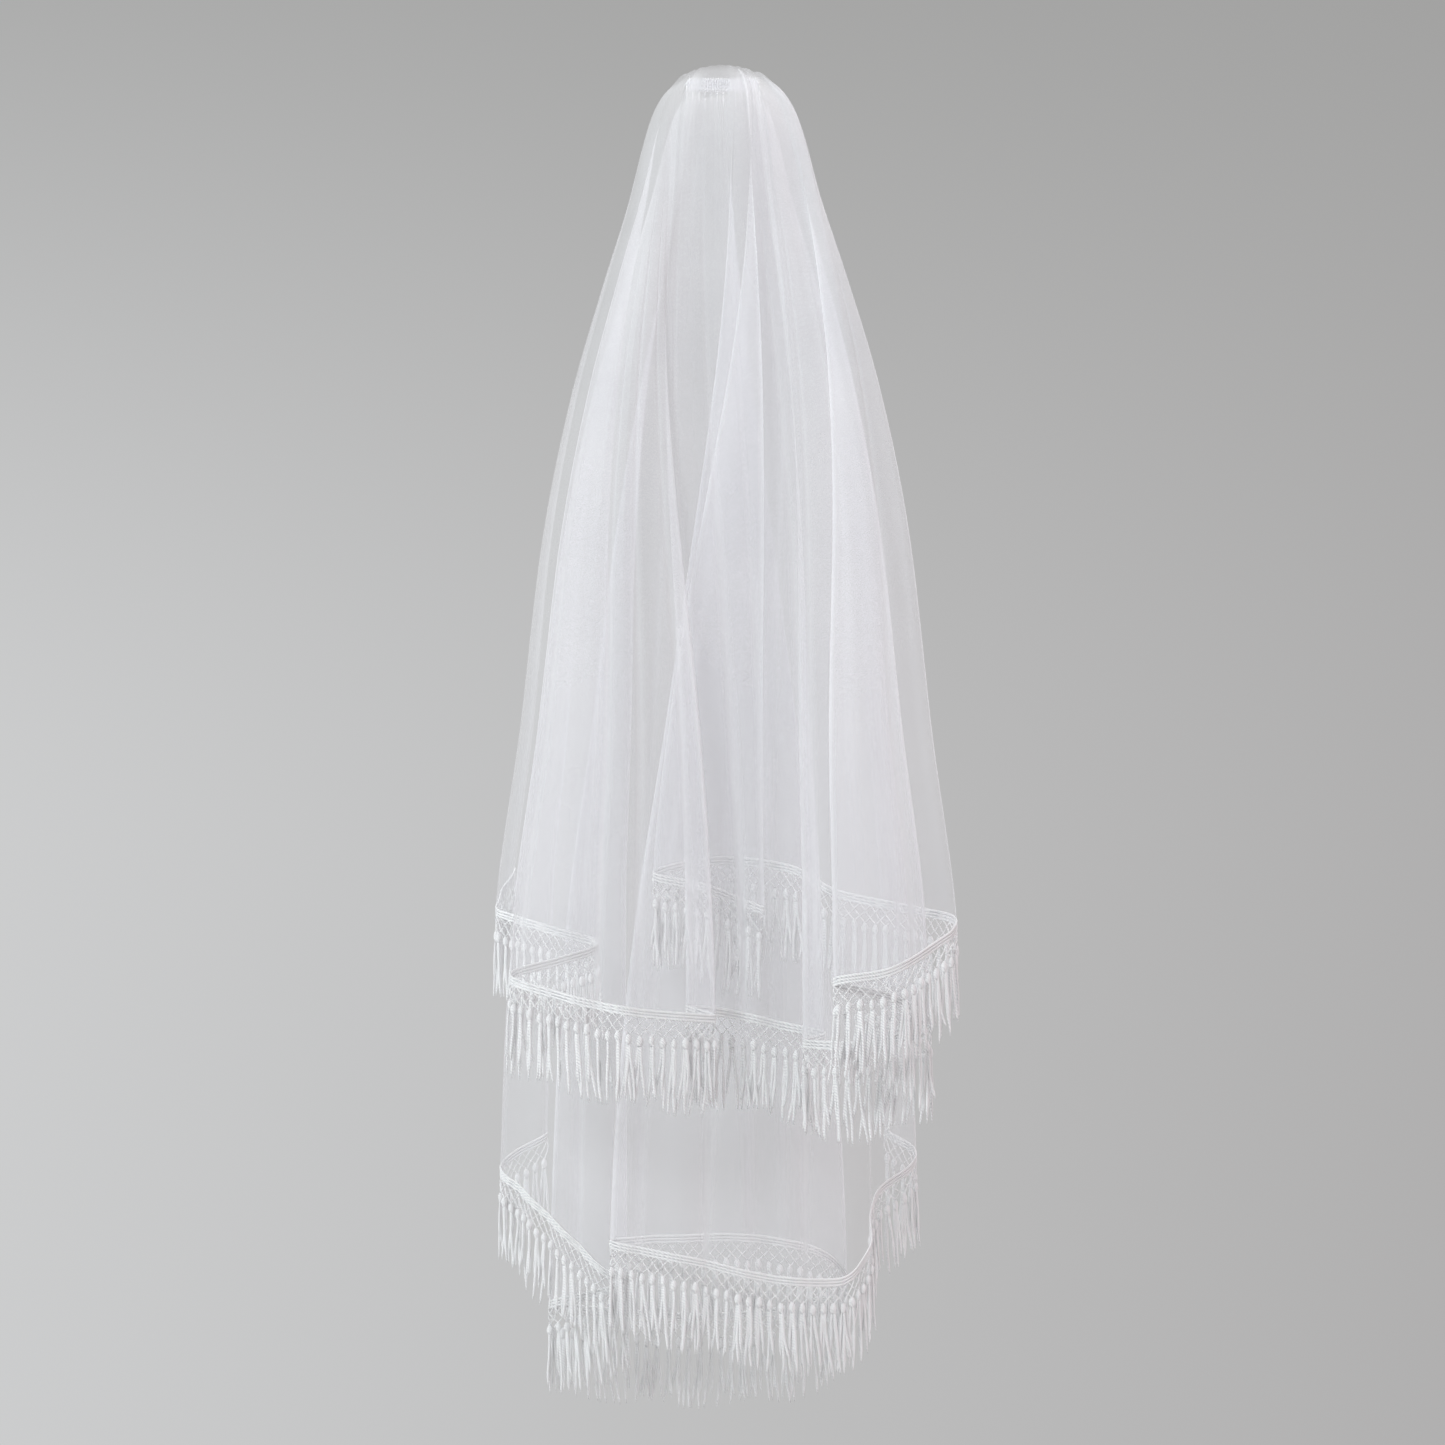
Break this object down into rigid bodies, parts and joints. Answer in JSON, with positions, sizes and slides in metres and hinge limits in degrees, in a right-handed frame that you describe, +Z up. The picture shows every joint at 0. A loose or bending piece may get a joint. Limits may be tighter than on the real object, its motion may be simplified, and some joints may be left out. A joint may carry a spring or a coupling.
{
  "type": "bridal veil",
  "caption": "Tiered tulle bridal veil gathered on a hair comb, with knotted tassel fringe along both hems.",
  "frame": {"origin": "middle of the comb's bar, where the comb sits in the hair on top of the head", "axes": "+Z up, +Y the way the wearer faces, so the cloth hangs behind the head on the -Y side, +X to the wearer's right"},
  "size_m": [0.4044, 0.3795, 1.2283],
  "materials": {
    "comb_metal": "satin",
    "tulle": "sheer fine net",
    "fringe_thread": "soft white thread"
  },
  "bodies": {
    "root": {"comb": "comb_metal", "gather_binding": "tulle", "upper_tier": "tulle", "lower_tier": "tulle", "upper_fringe": "fringe_thread", "lower_fringe": "fringe_thread"}
  },
  "joints": []
}
